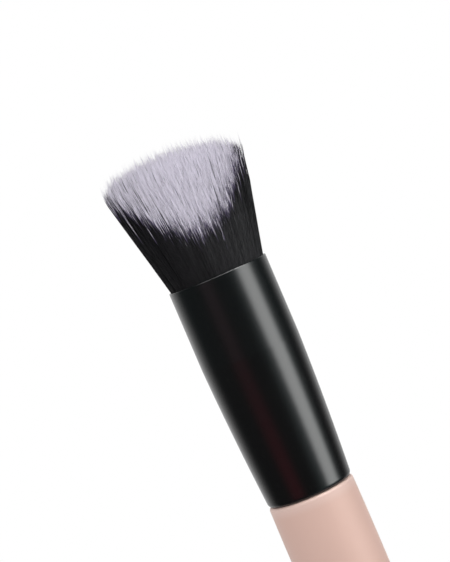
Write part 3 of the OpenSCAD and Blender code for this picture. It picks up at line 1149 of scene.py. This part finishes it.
def make_dyed_fibre():
    group = bpy.data.node_groups.new("dyed_fibre", "ShaderNodeTree")
    add_sockets(group,
                [("Root", "NodeSocketColor", (0.01, 0.01, 0.01, 1)),
                 ("Middle", "NodeSocketColor", (0.1, 0.1, 0.1, 1)),
                 ("Tip", "NodeSocketColor", (0.6, 0.6, 0.6, 1)),
                 ("Dark", "NodeSocketFloat", 0.8), ("Light", "NodeSocketFloat", 1.1),
                 ("Roughness", "NodeSocketFloat", 0.45)],
                [("Colour", "NodeSocketColor"), ("Roughness", "NodeSocketFloat")])
    given = new_node(group, "NodeGroupInput", (-700, 200)).outputs
    out = new_node(group, "NodeGroupOutput", (700, 0)).inputs
    spot = new_node(group, "ShaderNodeUVMap", (-700, -200), uv_map=FIBRE_MAP).outputs["UV"]
    lightness_of_fibre, along_dye, _ = parts_of(group, spot, (-500, -200))
    low = ramp(group, along_dye, *DYE_LOW, (-300, 0))
    high = ramp(group, along_dye, *DYE_HIGH, (-300, -250))
    colour = mix_colours(group, low, given["Root"], given["Middle"], (0, 100))
    colour = mix_colours(group, high, colour, given["Tip"], (200, 100))
    step = calculate(group, "SUBTRACT", given["Light"], given["Dark"], (-300, -500))
    gain = calculate(group, "ADD", calculate(group, "MULTIPLY", step, lightness_of_fibre,
                                             (-100, -500)), given["Dark"], (100, -500))
    link(group, shaded(group, colour, gain, (400, 100)), out["Colour"])
    softer = calculate(group, "MULTIPLY", lightness_of_fibre, LIGHT_IS_ROUGHER, (100, -300))
    link(group, calculate(group, "ADD", given["Roughness"], softer, (400, -300)),
         out["Roughness"])
    return group


def make_fibre(name, shine, **values):
    material, tree, shader = new_material(name)
    dyed = use_group(tree, dyed_fibre, **values)
    link(tree, dyed["Colour"], shader.inputs["Base Color"])
    link(tree, dyed["Roughness"], shader.inputs["Roughness"])
    set_shine(shader, Specular_IOR_Level=shine)
    return material


dyed_fibre = make_dyed_fibre()
black_fibre = make_fibre("black_fibre", 0.27, Root=(0.0085, 0.0083, 0.0092),
                         Middle=(0.0100, 0.0096, 0.0112), Tip=(0.013, 0.0115, 0.016),
                         Dark=0.25, Light=2.1, Roughness=0.36)
white_fibre = make_fibre("white_fibre", 0.45, Root=(0.0080, 0.0075, 0.0093),
                         Middle=(0.110, 0.088, 0.165), Tip=(0.845, 0.812, 0.918),
                         Dark=0.92, Light=1.06, Roughness=0.45)
print("fibre finishes ready")

# %% [markdown]
# ## Make the strands
# Black strands need few points, and white-tipped ones get extra points on both sides of the dye
# line, so that the change of colour falls where it should. Only the outer fibres are seen
# along their whole length, so they get points all the way up and a piece of their own for
# each kind. The inner white-tipped fibres are made in three pieces, left, middle and right, to
# keep each mesh at a size that is easy to handle.

# %% Choose the strands' thickness and points
ROOT_DEPTH = -1.3
THICKNESS = 0.060
THICKNESS_RANGE = (0.85, 1.15)
STRAY_THICKER = 1.2
TAPER_LENGTH = 4.5
TAPER_POWER = 0.9
DYE_SPAN = 1.5
LOCK_LIGHTNESS = 0.7
OWN_LIGHTNESS = 0.3
LIGHTNESS_LIMITS = (0.02, 0.98)
OUTER_FROM = 0.9
BLACK_KNOTS = {"outer": (0.0, 0.18, 0.36, 0.54, 0.72, 0.9), "inner": (0.5, 0.88)}
WHITE_KNOTS = {"outer": (0.0, 0.25, 0.5, 0.75), "inner": ()}
BEFORE_DYE = (1.1, 0.2)
AFTER_DYE = (0.45, 0.75)
WHITE_SOFTNESS = 0.6
lightness = LOCK_LIGHTNESS * rng.random(LOCKS)[lock] + OWN_LIGHTNESS * rng.random(FIBRES)
outer = from_middle > OUTER_FROM


def tone_of(heights, dye_line):
    """0 far below the dye line, 0.5 on it and 1 far above, never flat."""
    off = (heights - dye_line) / DYE_SPAN
    return 0.5 + 0.5 * off / (1 + np.abs(off))


def strands(rows, heights, tone, softness):
    """Everything strand_mesh asks for, with each strand drawn out to a point."""
    left = np.clip((tip[rows, None] - heights) / TAPER_LENGTH, 0, 1) ** TAPER_POWER
    thick = THICKNESS * rng.uniform(*THICKNESS_RANGE, (len(rows), 1)) * left
    thick = np.where(stray[rows, None], STRAY_THICKER, 1) * thick
    shade = lightness[rows].clip(*LIGHTNESS_LIMITS)
    return trace(rows, heights), thick, shade, tone, outward[rows], softness


def black_strands(rows, knots):
    low = np.full((len(rows), 1), ROOT_DEPTH)
    top = tip[rows, None]
    heights = np.concatenate([low, np.array(knots) * top, top], axis=1)
    tone = (heights - ROOT_DEPTH) / (CUT_TOP - ROOT_DEPTH)
    return strands(rows, heights, tone, 0.0)


def white_strands(rows, knots):
    low = np.full((len(rows), 1), ROOT_DEPTH)
    line, top = dye[rows, None], tip[rows, None]
    near, close = line - BEFORE_DYE[0], line - BEFORE_DYE[1]
    after = line + np.array(AFTER_DYE) * (top - line)
    heights = np.concatenate([low, np.array(knots) * near, near, close, after, top], axis=1)
    return strands(rows, heights, tone_of(heights, line), WHITE_SOFTNESS)


print(f"{outer.sum()} fibres stand in the outer layer")

# %% Make the black and the white-tipped strands
for name, there in (("outer", outer), ("inner", ~outer)):
    add_strands(f"black_fibres_{name}", "black_fibres", "black_fibre", black_fibre,
                *black_strands(np.flatnonzero(black & there), BLACK_KNOTS[name]))
add_strands("white_fibres_outer", "white_fibres", "white_fibre", white_fibre,
            *white_strands(np.flatnonzero(~black & outer), WHITE_KNOTS["outer"]))
thirds = np.quantile(home_x[~black & ~outer], (1 / 3, 2 / 3))
for i, name in enumerate(("left", "middle", "right")):
    rows = np.flatnonzero(~black & ~outer & (np.digitize(home_x, thirds) == i))
    add_strands(f"white_fibres_{name}", "white_fibres", "white_fibre", white_fibre,
                *white_strands(rows, WHITE_KNOTS["inner"]))

# %% [markdown]
# ## Sizes
# The dressed brush has to keep the size of the solids, so both boxes are written down.

# %% Write the sizes and finish
visual_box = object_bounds()
for name, box in (("solids", solid_box), ("dressed", visual_box)):
    print(name, [[round(x / MM, 2) for x in corner] for corner in box])
